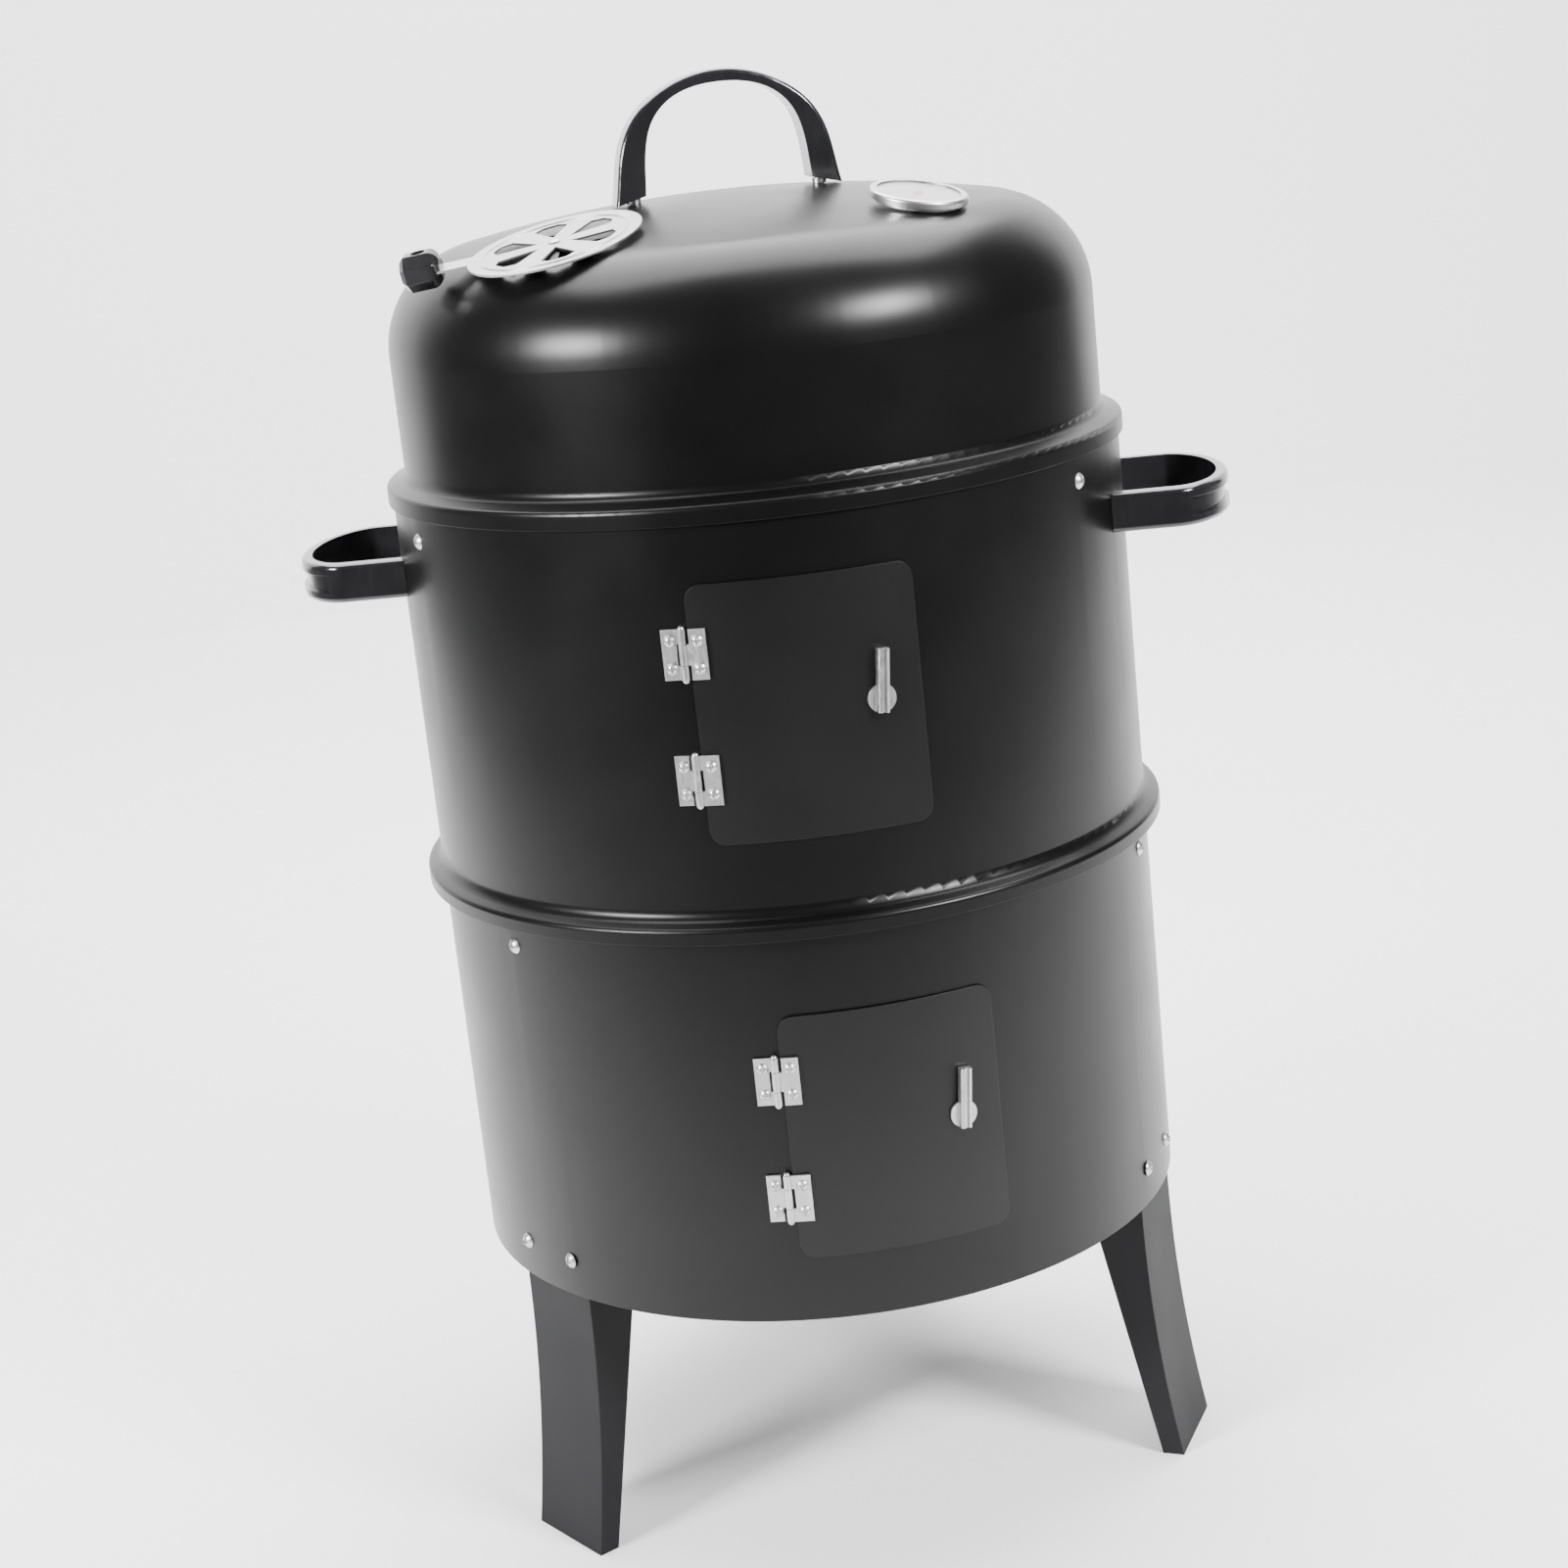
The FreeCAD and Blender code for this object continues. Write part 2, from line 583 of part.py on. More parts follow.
def latch_lever(azimuth, height):
    """A disc with a raised, grooved grip that points up, and the spindle through the door."""
    disc = cylinder(LATCH_DISC_R, 0, LATCH_DISC_T)
    half = LATCH_GRIP_W / 2
    grip = box(-half, half, -LATCH_DISC_R + 0.6, LATCH_REACH, LATCH_DISC_T / 2, LATCH_GRIP_H)
    ridges = [e for e in grip.Edges
              if abs(e.tangentAt(e.FirstParameter).y) > 0.99 and e.CenterOfMass.z > LATCH_GRIP_H / 2]
    grip = grip.makeFillet(LATCH_RIDGE_R, ridges)
    half = LATCH_GROOVE_W / 2
    groove_floor = LATCH_GRIP_H - LATCH_GROOVE_DEPTH
    groove = box(-half, half, -LATCH_DISC_R - 1, LATCH_REACH + 1, groove_floor, LATCH_GRIP_H + 1)
    behind = CAM_FACE_R - LATCH_FACE_R
    spindle = cylinder(SPINDLE_R, behind, 0.5)
    tail = cylinder(SPINDLE_TAIL_R, behind - SPINDLE_TAIL_LENGTH, behind + 0.5)
    lever = joined([disc, grip.cut(groove), spindle, tail])
    lever.rotate(ORIGIN, UP, -LATCH_LEAN)
    return seated(lever, LATCH_FACE_R, azimuth + LATCH_AZ, height, 90)


def latch_cam(azimuth, height):
    """The tongue that turns behind the wall."""
    half = CAM_HALF_W
    low, high = -CAM_T - 0.05, -0.05
    end = CAM_LENGTH - half
    tongue = box(-half, half, 0, end, low, high)
    cam = joined([tongue, cylinder(half, low, high, 0, end), cylinder(half, low, high)])
    cam = cam.cut(cylinder(SPINDLE_TAIL_R + 0.05, low - 1, high + 1))
    return seated(cam, CAM_FACE_R, azimuth + LATCH_AZ, height, 90)


def latch_nut(azimuth, height):
    small = nut(-5.0, SPINDLE_TAIL_R + 0.05, 7.0, 3.2)
    return seated(small, CAM_FACE_R, azimuth + LATCH_AZ, height, 90)


# ---------------------------------------------------------------- side handles
def handle_plan(grow):
    """The plan of a side handle's outside or, shrunk, its inside: straight arms and an elliptic end."""
    half = SIDE_HANDLE_HALF - grow[0]
    tip = SIDE_HANDLE_TIP_R - grow[1]
    bend = SIDE_HANDLE_BEND_R
    low = -SIDE_HANDLE_H / 2 - 1
    arms = box(-half, half, -bend, -150, low, -low)
    round_end = Part.Ellipse(ORIGIN, half, tip - bend).toShape()
    end = Part.Face(Part.Wire([round_end])).extrude(vec(0, 0, -2 * low))
    end.translate(vec(0, -bend, low))
    return joined([arms, end])


def side_handle(azimuth):
    """A moulded loop: a flat band on edge, its outer face hollowed along the middle."""
    height = SIDE_HANDLE_H
    half = height / 2
    slab = box(-80, 80, -260, -150, -half, half)
    outer = handle_plan((0, 0)).common(slab)
    rim = [e for e in outer.Edges if abs(abs(e.CenterOfMass.z) - half) < 0.01 and e.CenterOfMass.y < -160]
    outer = outer.makeFillet(SIDE_HANDLE_EDGE_R, rim)
    band = outer.cut(handle_plan((SIDE_HANDLE_ARM, SIDE_HANDLE_TIP_T)))
    half_groove = SIDE_GROOVE_W / 2
    groove = box(-80, 80, -260, -222, -half_groove, half_groove)
    groove = groove.cut(handle_plan((SIDE_GROOVE_DEPTH, SIDE_GROOVE_DEPTH)))
    band = band.cut(groove)
    band = band.cut(cylinder(BARREL_R + 0.15, -40, 40))
    for x in (-1, 1):
        pilot = cylinder(HANDLE_PILOT_R, -12, 9.5)
        band = band.cut(seated(pilot, BARREL_R, x * HANDLE_SCREW_AZ, 0, 90))
    band.translate(vec(0, 0, SIDE_HANDLE_Z))
    return turned(band, azimuth)


def handle_screw_places():
    return [(UPPER_TURN + side + turn, SIDE_HANDLE_Z, 0)
            for side in (-90, 90) for turn in (-HANDLE_SCREW_AZ, HANDLE_SCREW_AZ)]


def handle_screws():
    """Screws from inside the barrel into the handles' arms, with a washer under each head."""
    items = []
    for azimuth, height, along in handle_screw_places():
        screw = pan_screw(4.0, 2.6, HANDLE_SCREW_R, 11.0)
        screw.rotate(ORIGIN, ALONG, 180)
        items.append(seated(screw, BARREL_R - SHEET - 1.4, azimuth, height, 90, along))
    return group(items)


def handle_washers():
    washer = tube(5.2, 2.0, -1.3, -0.2)
    return group([seated(washer, BARREL_R - SHEET, azimuth, height, 90, along)
                  for azimuth, height, along in handle_screw_places()])


# ---------------------------------------------------------------- lid
def dome_z(radius):
    """Height of the lid's outer face over its flat crown."""
    return CAP_CENTRE_Z + math.sqrt(LID_CAP_R ** 2 - radius ** 2)


def lid_outline(depth):
    """The lid's section from rim to crown, at a depth under its outer face."""
    corners = [(LID_RIM_R, LID_RIM_Z, 0), (LID_RIM_R, LID_RIM_TOP_Z, 2.6), (LID_WALL_R, LID_NECK_Z, 5.0),
               (LID_WALL_R, LID_WALL_TOP_Z, 0)]
    edges = rounded_path(inset(corners, depth))
    meet = math.atan2(LID_WALL_TOP_Z - CAP_CENTRE_Z, SHOULDER_CENTRE_R)

    def arc(centre_r, centre_z, radius, start, end):
        points = []
        for angle in (start, (start + end) / 2, end):
            points.append(section_point(centre_r + radius * math.cos(angle), centre_z + radius * math.sin(angle)))
        return Part.Arc(*points).toShape()

    edges.append(arc(SHOULDER_CENTRE_R, LID_WALL_TOP_Z, LID_SHOULDER_R - depth, 0, meet))
    edges.append(arc(0, CAP_CENTRE_Z, LID_CAP_R - depth, meet, math.pi / 2))
    return edges


def vent_seat(shape):
    return seated(shape, VENT_R, LID_TURN + VENT_AZ, dome_z(VENT_R), VENT_LEAN)


def gauge_seat(shape):
    return seated(shape, GAUGE_R, LID_TURN + GAUGE_AZ, dome_z(GAUGE_R), GAUGE_LEAN)


def vent_holes(kite_points, turn, low, high):
    """Kite-shaped openings, each with its point to the rivet."""
    kite = Part.Face(Part.makePolygon([vec(x, y, low) for x, y in kite_points])).extrude(vec(0, 0, high - low))
    holes = []
    for i in range(VENT_HOLES):
        hole = kite.copy()
        hole.rotate(ORIGIN, UP, turn + i * 360.0 / VENT_HOLES)
        holes.append(hole)
    return holes


def lid_shell():
    bottom = Part.makeLine(section_point(LID_RIM_R, LID_RIM_Z), section_point(LID_RIM_R - SHEET, LID_RIM_Z))
    crown = Part.makeLine(section_point(0, LID_TOP_Z), section_point(0, LID_TOP_Z - SHEET))
    shell = revolved(lid_outline(0) + [crown] + lid_outline(SHEET) + [bottom])
    cutters = [vent_seat(hole) for hole in vent_holes(LID_KITE, VENT_HOLE_AZ + VENT_HOLE_TURN, -14, 1.5)]
    cutters.append(vent_seat(cylinder(RIVET_R + 0.15, -DRILL, DRILL)))
    cutters.append(gauge_seat(cylinder(GAUGE_STEM_R + 0.3, -DRILL, DRILL)))
    for side in (-1, 1):
        drill = cylinder(LID_SCREW_HOLE_R, LID_TOP_Z - DRILL, LID_TOP_Z + DRILL, side * LID_SCREW_X)
        cutters.append(turned(drill, LID_TURN))
    return shell.cut(cutters)


def arch_line(points):
    """A smooth arch in the XZ plane through points (half width, height), the last on the middle line."""
    left = [vec(-half, 0, z) for half, z in points]
    right = [vec(half, 0, z) for half, z in points[-2::-1]]
    curve = Part.BSplineCurve()
    curve.interpolate(left + right)
    return curve.toShape()


def foot_line(side):
    """The slanting underside of one foot."""
    outer_x, outer_z = LID_HANDLE_OUTSIDE[0]
    inner_x, inner_z = LID_HANDLE_INSIDE[0]
    return Part.makeLine(vec(side * outer_x, 0, outer_z), vec(side * inner_x, 0, inner_z))


def lid_handle():
    """An arch that is slim at the top and broad at its two feet, each with a pocket for its spacer."""
    half_depth = LID_HANDLE_DEPTH / 2
    edges = [arch_line(LID_HANDLE_OUTSIDE), foot_line(1), arch_line(LID_HANDLE_INSIDE), foot_line(-1)]
    grip = Part.Face(Part.Wire(Part.__sortEdges__(edges))).extrude(vec(0, LID_HANDLE_DEPTH, 0))
    grip.translate(vec(0, -half_depth, 0))
    crown_z = LID_HANDLE_OUTSIDE[-1][1]
    rims = [e for e in grip.Edges
            if abs(abs(e.CenterOfMass.y) - half_depth) < 0.01 and e.BoundBox.ZMax > crown_z - 0.5]
    grip = grip.makeFillet(LID_HANDLE_EDGE_R, rims)
    for side in (-1, 1):
        x = side * LID_SCREW_X
        pocket = cylinder(LID_SPACER_R + GAP, LID_HANDLE_SEAT_Z - 5, LID_HANDLE_SEAT_Z, x)
        pilot = cylinder(LID_SCREW_PILOT_R, LID_HANDLE_SEAT_Z - 1, LID_HANDLE_SEAT_Z + 12, x)
        grip = grip.cut([pocket, pilot])
    return turned(grip, LID_TURN)


def lid_handle_spacers():
    base = dome_z(LID_SCREW_X - LID_SPACER_R) + 0.05
    items = []
    for side in (-1, 1):
        spacer = cylinder(LID_SPACER_R, base, LID_HANDLE_SEAT_Z - 0.05, side * LID_SCREW_X)
        hole = cylinder(LID_SCREW_HOLE_R, base - 1, LID_HANDLE_SEAT_Z + 1, side * LID_SCREW_X)
        items.append(spacer.cut(hole))
    return turned(group(items), LID_TURN)


def lid_handle_washers():
    top = dome_z(LID_SCREW_X + LID_WASHER_R) - SHEET - 0.1
    items = []
    for side in (-1, 1):
        washer = cylinder(LID_WASHER_R, top - 1.1, top, side * LID_SCREW_X)
        items.append(washer.cut(cylinder(LID_SCREW_HOLE_R, top - 3, top + 1, side * LID_SCREW_X)))
    return turned(group(items), LID_TURN)


def lid_handle_screws():
    """Screws from inside the lid, up through the spacers into the handle's feet."""
    head_z = dome_z(LID_SCREW_X + LID_WASHER_R) - SHEET - 1.3
    items = []
    for side in (-1, 1):
        screw = pan_screw(4.2, 2.8, LID_SCREW_R, LID_HANDLE_SEAT_Z + 11 - head_z)
        screw.rotate(ORIGIN, ALONG, 180)
        screw.translate(vec(side * LID_SCREW_X, 0, head_z))
        items.append(screw)
    return turned(group(items), LID_TURN)


def vent_damper():
    """A round plate with kite-shaped holes, a raised ring line and a tab for the knob."""
    low, high = VENT_DISC_Z, DAMPER_TOP_Z
    plate = cylinder(VENT_DISC_R, low, high)
    tab = box(VENT_DISC_R - 8, VENT_KNOB_REACH + 4, -VENT_TAB_HALF_W, VENT_TAB_HALF_W, low, high)
    tab.rotate(ORIGIN, UP, VENT_TAB_ANGLE)
    ring = tube(VENT_RING_R, VENT_RING_R - VENT_RING_W, high - 0.2, high + 0.4)
    cutters = vent_holes(VENT_KITE, VENT_HOLE_AZ, low - 1, high + 2) + [cylinder(RIVET_BORE_R, low - 1, high + 1)]
    return vent_seat(joined([plate, tab, ring]).cut(cutters))


def knob_prism(length, flats):
    """An eight-sided block along X, rounded over at x = 0 and chamfered at its other end."""
    corner = flats / 2 / math.cos(math.radians(22.5))
    angles = [math.radians(22.5 + 45 * i) for i in range(9)]
    points = [vec(0, corner * math.cos(a), corner * math.sin(a)) for a in angles]
    prism = Part.Face(Part.makePolygon(points)).extrude(vec(length, 0, 0))
    far = [e for e in prism.Edges if e.CenterOfMass.x > length - 0.01]
    prism = prism.makeChamfer(KNOB_CHAMFER, far)
    near = [e for e in prism.Edges if e.CenterOfMass.x < 0.01]
    return prism.makeFillet(KNOB_ROUND, near)


def vent_knob():
    """The heat-proof knob that is pushed onto the tab."""
    low, high = VENT_DISC_Z, DAMPER_TOP_Z
    knob = knob_prism(KNOB_LENGTH, KNOB_FLATS)
    knob.translate(vec(VENT_KNOB_REACH - KNOB_LENGTH / 2, 0, (low + high) / 2 + KNOB_RISE))
    half = VENT_TAB_HALF_W + 0.2
    slot = box(0, VENT_KNOB_REACH + 4.3, -half, half, low - 0.05, high + 0.05)
    knob = knob.cut(slot).cut(cylinder(1.6, low - 8, high + 20, VENT_KNOB_REACH))
    knob = knob.cut(cylinder(3.6, high + 5.5, high + 20, VENT_KNOB_REACH))
    knob.rotate(ORIGIN, UP, VENT_TAB_ANGLE)
    return vent_seat(knob)


def vent_knob_screw():
    """A short screw down through the knob onto the tab."""
    screw = pan_screw(3.2, 1.8, 1.5, 5.4)
    screw.translate(vec(VENT_KNOB_REACH, 0, DAMPER_TOP_Z + 5.55))
    screw.rotate(ORIGIN, UP, VENT_TAB_ANGLE)
    return vent_seat(screw)


def vent_spacer():
    return vent_seat(tube(6.5, RIVET_R + 0.15, 0.35, VENT_DISC_Z - 0.05))


def vent_rivet():
    high = DAMPER_TOP_Z + 0.5
    head = Part.makeSphere(5.0, vec(0, 0, high - 4.0)).common(cylinder(3.0, high, high + 4))
    tail = cylinder(3.6, -SHEET - 2.0, -SHEET - 0.5)
    return vent_seat(joined([head, cylinder(RIVET_R, -SHEET - 1.5, high + 0.5), tail]))


def thermometer_case():
    base = GAUGE_BASE_Z
    cup = tube(GAUGE_CASE_R, GAUGE_CASE_R - 1.1, base, GAUGE_DIAL_Z - 0.05)
    floor = cylinder(GAUGE_CASE_R, base, base + 1)
    return gauge_seat(joined([cup, floor]).cut(cylinder(GAUGE_STEM_R + 0.05, 0, base + 3)))


def thermometer_bezel():
    """The polished ring that holds the lens; the case shows as a dark step under it."""
    top = GAUGE_TOP_Z
    low = GAUGE_BASE_Z + 1.7
    outer = GAUGE_BEZEL_R
    inner = GAUGE_CASE_R + 0.1
    lip = inner - 1.5
    shelf = inner - 1.2
    corners = [(inner, low), (outer, low), (outer, top - 1.6), (outer - 1.6, top), (lip, top), (lip, top - 0.5),
               (inner, top - 0.5), (inner, top - 1.6), (shelf, top - 1.6), (shelf, GAUGE_DIAL_Z + 0.5),
               (inner, GAUGE_DIAL_Z + 0.5), (inner, low)]
    edges = [Part.makeLine(section_point(*a), section_point(*b)) for a, b in zip(corners, corners[1:])]
    edges[2] = Part.Arc(section_point(*corners[2]), section_point(outer - 0.47, top - 0.47),
                        section_point(*corners[3])).toShape()
    return gauge_seat(revolved(edges))


def thermometer_dial():
    return gauge_seat(tube(GAUGE_CASE_R - 0.1, 0.9, GAUGE_DIAL_Z, GAUGE_DIAL_Z + 0.45))


def thermometer_lens():
    return gauge_seat(cylinder(GAUGE_CASE_R, GAUGE_LENS_Z, GAUGE_LENS_Z + 1))


def thermometer_pointer():
    """The needle on its spindle, over the dial."""
    low, high = GAUGE_POINTER_Z, GAUGE_POINTER_Z + 0.3
    tip = POINTER_LENGTH
    outline = [vec(-6, -1.1, low), vec(-6, 1.1, low), vec(tip, 0.25, low), vec(tip, -0.25, low),
               vec(-6, -1.1, low)]
    needle = Part.Face(Part.makePolygon(outline)).extrude(vec(0, 0, high - low))
    spindle = cylinder(0.8, GAUGE_BASE_Z + 1.7, high)
    needle = joined([needle, cylinder(2.2, low, high + 0.3), spindle])
    needle.rotate(ORIGIN, UP, POINTER_TURN)
    return gauge_seat(needle)


def thermometer_stem():
    """The threaded probe that reaches down into the smoke."""
    floor = GAUGE_BASE_Z + 1
    neck = cylinder(GAUGE_STEM_R, -GAUGE_THREAD_LENGTH, floor + 0.2)
    probe = cylinder(GAUGE_STEM_R - 0.7, -GAUGE_STEM_LENGTH, -GAUGE_THREAD_LENGTH)
    flange = cylinder(5.5, floor + 0.05, floor + 0.5)
    return gauge_seat(joined([neck, probe, flange]))


def thermometer_nut():
    return gauge_seat(nut(-SHEET - 4.3, GAUGE_STEM_R + 0.05, 11.0, 3.2))


# ---------------------------------------------------------------- grates and bowls
def grate(rest_z, azimuth):
    """A wire grate: a round rim, parallel bars and two cross bars under them."""
    rim_z = rest_z + GAP + GRATE_RIM_WIRE_R
    wires = [Part.makeTorus(GRATE_R, GRATE_RIM_WIRE_R, vec(0, 0, rim_z))]
    count = int(GRATE_R // GRATE_PITCH)
    for i in range(-count, count + 1):
        x = i * GRATE_PITCH
        half = math.sqrt(GRATE_R ** 2 - x ** 2)
        start = vec(x, -half, rim_z + GRATE_BAR_RISE)
        wires.append(Part.makeCylinder(GRATE_BAR_R, 2 * half, start, vec(0, 1, 0)))
    for y in (-CROSS_BAR_Y, CROSS_BAR_Y):
        half = math.sqrt(GRATE_R ** 2 - y ** 2)
        start = vec(-half, y, rim_z - CROSS_BAR_DROP)
        wires.append(Part.makeCylinder(CROSS_BAR_R, 2 * half, start, ALONG))
    return turned(joined(wires), azimuth)


def bowl(rim_z, rim_r, body_r, depth):
    """A pressed bowl with a flat rim."""
    floor = rim_z - depth
    corners = [(0.0, floor, 0), (BOWL_FOOT_R, floor, 24.0), (body_r, rim_z - 12, 10.0), (body_r + 2, rim_z, 2.0),
               (rim_r, rim_z, 0)]
    return sheet_ring(corners)


def water_bowl():
    return bowl(LOWER_BOLT_Z - BRACKET_DOWN + GAP, WATER_RIM_R, WATER_BODY_R, WATER_DEPTH)


def charcoal_bowl():
    return bowl(LEG_TOP_Z + GAP, CHARCOAL_RIM_R, CHARCOAL_BODY_R, CHARCOAL_DEPTH)


# ---------------------------------------------------------------- the whole smoker
def door_nodes(level, azimuth, height):
    """Everything that hangs a door on its barrel."""
    return {
        f"{level}_hinge_fixed_leaves": leaves(azimuth, height, -1),
        f"{level}_hinge_fixed_screws": hinge_screws(azimuth, height, -1),
        f"{level}_hinge_pins": hinge_pins(azimuth, height),
        f"{level}_door": door_panel(azimuth, height),
        f"{level}_hinge_door_leaves": leaves(azimuth, height, 1),
        f"{level}_hinge_door_screws": hinge_screws(azimuth, height, 1),
        f"{level}_latch_lever": latch_lever(azimuth, height),
        f"{level}_latch_cam": latch_cam(azimuth, height),
        f"{level}_latch_nut": latch_nut(azimuth, height),
    }


def bracket_nodes(level, places):
    return {
        f"{level}_brackets": brackets(places),
        f"{level}_bracket_bolts": bolts(places),
        f"{level}_bracket_nuts": nuts(places, BRACKET_NUT_FACE_R),
    }


def lid_nodes():
    makers = (lid_shell, lid_handle, lid_handle_spacers, lid_handle_washers, lid_handle_screws, vent_damper,
              vent_knob, vent_knob_screw, vent_spacer, vent_rivet, thermometer_case, thermometer_bezel,
              thermometer_dial, thermometer_lens, thermometer_pointer, thermometer_stem, thermometer_nut)
    return {maker.__name__: maker() for maker in makers}


def smoker_nodes():
    nodes = lid_nodes()
    nodes["upper_barrel"] = upper_barrel()
    nodes["side_handle_left"] = side_handle(UPPER_TURN - 90)
    nodes["side_handle_right"] = side_handle(UPPER_TURN + 90)
    nodes["side_handle_screws"] = handle_screws()
    nodes["side_handle_washers"] = handle_washers()
    nodes.update(bracket_nodes("upper", upper_bracket_places()))
    nodes.update(door_nodes("upper", UPPER_DOOR_AZ, UPPER_DOOR_Z))
    nodes["upper_grate"] = grate(UPPER_BOLT_Z + BRACKET_UP, UPPER_TURN)
    nodes["lower_barrel"] = lower_barrel()
    nodes.update(bracket_nodes("lower", lower_bracket_places()))
    nodes.update(door_nodes("lower", LOWER_DOOR_AZ, LOWER_DOOR_Z))
    for name, azimuth in LEG_AZIMUTHS.items():
        nodes[name] = leg(azimuth)
    nodes["leg_bolts"] = bolts(leg_bolt_places())
    nodes["leg_nuts"] = nuts(leg_bolt_places(), LEG_NUT_FACE_R)
    nodes["lower_grate"] = grate(LOWER_BOLT_Z + BRACKET_UP, LOWER_BRACKET_TURN)
    nodes["water_bowl"] = water_bowl()
    nodes["charcoal_bowl"] = charcoal_bowl()
    return nodes


os.makedirs("parts", exist_ok=True)
for node, shape in smoker_nodes().items():
    shape.exportStep(f"parts/{node}.step")
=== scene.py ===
"""Look of the vertical water smoker: procedural finishes on its pieces, a pale studio and the camera."""
import json
import math

import bpy
from mathutils import Matrix, Vector


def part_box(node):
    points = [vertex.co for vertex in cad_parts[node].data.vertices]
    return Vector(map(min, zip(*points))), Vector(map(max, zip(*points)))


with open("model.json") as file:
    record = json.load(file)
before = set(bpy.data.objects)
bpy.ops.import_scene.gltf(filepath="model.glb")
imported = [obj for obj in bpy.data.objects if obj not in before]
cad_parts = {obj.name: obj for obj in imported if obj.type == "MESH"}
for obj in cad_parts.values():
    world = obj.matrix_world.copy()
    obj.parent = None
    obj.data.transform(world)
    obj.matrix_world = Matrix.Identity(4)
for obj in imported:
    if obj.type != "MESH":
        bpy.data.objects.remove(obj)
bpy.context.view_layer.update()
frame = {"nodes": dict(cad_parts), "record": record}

NODES = frame["nodes"]
RECORD = frame["record"]

# Camera: where it stands, how far it turns, looks down and leans in radians, and its lens on a 36 mm sensor.
CAMERA_PLACE = Vector((-0.2001, -1.5000, 0.7794))
CAMERA_TURN = 0.130645
CAMERA_DOWN = 0.2644
CAMERA_LEAN = 0.1056
CAMERA_LENS = 66.46
SENSOR_W = 36.0

# Studio, in metres: a floor that is pale out to where the camera sees it and painted grey beyond, as painted
# shade for the dim room, and a backdrop behind it.
FLOOR_CENTRE = (0.3, 1.35, 0.0)
FLOOR_PALE_R = 1.9
FLOOR_PAINTED_SHADE_R = 2.6
FLOOR_REACH = 8.0
FLOOR_PALE = ((0.89, 0.89, 0.89), (0.92, 0.92, 0.92))
# Painted shade: the grey the floor is painted away from the lights, standing in for the dim room.
FLOOR_PAINTED_SHADE = (0.11, 0.11, 0.11)
BACKDROP_Y = 2.6
BACKDROP_W = 7.0
BACKDROP_H = 3.0
BACKDROP_TONES = ((0.48, 0.48, 0.48), (0.50, 0.50, 0.50))
BACKDROP_GLOW = 1.5
SKY_GLOW = 0.17

# Soft lights: where each stands, what it faces, its width and height in metres, and its watts.
LIGHTS = {
    "left_box": ((-1.82, -0.99, 1.22), (0.0, 0.0, 0.62), 0.62, 0.40, 96.0),
    "right_box": ((1.26, -1.48, 1.55), (0.0, 0.0, 0.72), 0.62, 0.40, 92.0),
    "top_panel": ((0.2, 1.0, 2.6), (0.2, 0.7, 0.0), 3.0, 2.4, 260.0),
}

# Paints. Their orange peel has `grain` features to the metre and `depth` metres of relief, and `edge` is the
# radius of the softened edges. The denoiser outlines the places where a roughness crosses 0.27, so no finish's
# range of roughness does.
PAINTS = {
    "barrel_enamel": {"colour": (0.002, 0.002, 0.0021), "roughness": 0.31, "ior": 1.33,
                      "grain": 350.0, "depth": 0.000008, "edge": 0.0005},
    # The doors' enamel is the barrel's enamel painted a little paler: a painted reflection for the brighter
    # reflections the doors catch.
    "door_enamel": {"colour": (0.0035, 0.0035, 0.0037), "roughness": 0.38, "ior": 1.37,
                    "grain": 350.0, "depth": 0.000008, "edge": 0.0005},
    "leg_enamel": {"colour": (0.011, 0.011, 0.012), "roughness": 0.55, "ior": 1.22,
                   "grain": 500.0, "depth": 0.00001, "edge": 0.0008},
    "bowl_enamel": {"colour": (0.012, 0.012, 0.014), "roughness": 0.16, "ior": 1.42,
                    "grain": 300.0, "depth": 0.00003, "edge": 0.0005},
    "dial_white": {"colour": (0.80, 0.80, 0.78), "roughness": 0.45, "ior": 1.42,
                   "grain": 900.0, "depth": 0.00001, "edge": 0.0002},
    "pointer_red": {"colour": (0.50, 0.03, 0.02), "roughness": 0.35, "ior": 1.42,
                    "grain": 900.0, "depth": 0.00001, "edge": 0.0002},
}
PAINT_PATCHES = 9.0
PAINT_TONES = (0.85, 1.15)
PAINT_RUBBED_TONE = 4.0
PAINT_RUBBED_MOST = 0.25
PAINT_SHEEN = 20.0
PAINT_SHEEN_SWING = 0.03

# Bright metals. `stretch` squeezes their fine lines along the axes.
METALS = {
    "grate_chrome": {"colour": (0.72, 0.72, 0.73), "roughness": 0.18, "stretch": (1.0, 0.1, 1.0),
                     "edge": 0.0002, "depth": 0.00001},
    "fitting_steel": {"colour": (0.64, 0.64, 0.64), "roughness": 0.34, "stretch": (1.0, 1.0, 0.1),
                      "edge": 0.0002, "depth": 0.00001},
    "zinc_plate": {"colour": (0.58, 0.58, 0.59), "roughness": 0.38, "stretch": (1.0, 1.0, 0.3),
                   "edge": 0.0003, "depth": 0.000004},
}
METAL_LINES = 900.0
METAL_CLOUDS = 160.0
METAL_DARKEST_TONE = 0.88
METAL_SMOOTHER = 0.05
METAL_ROUGHER = 0.07


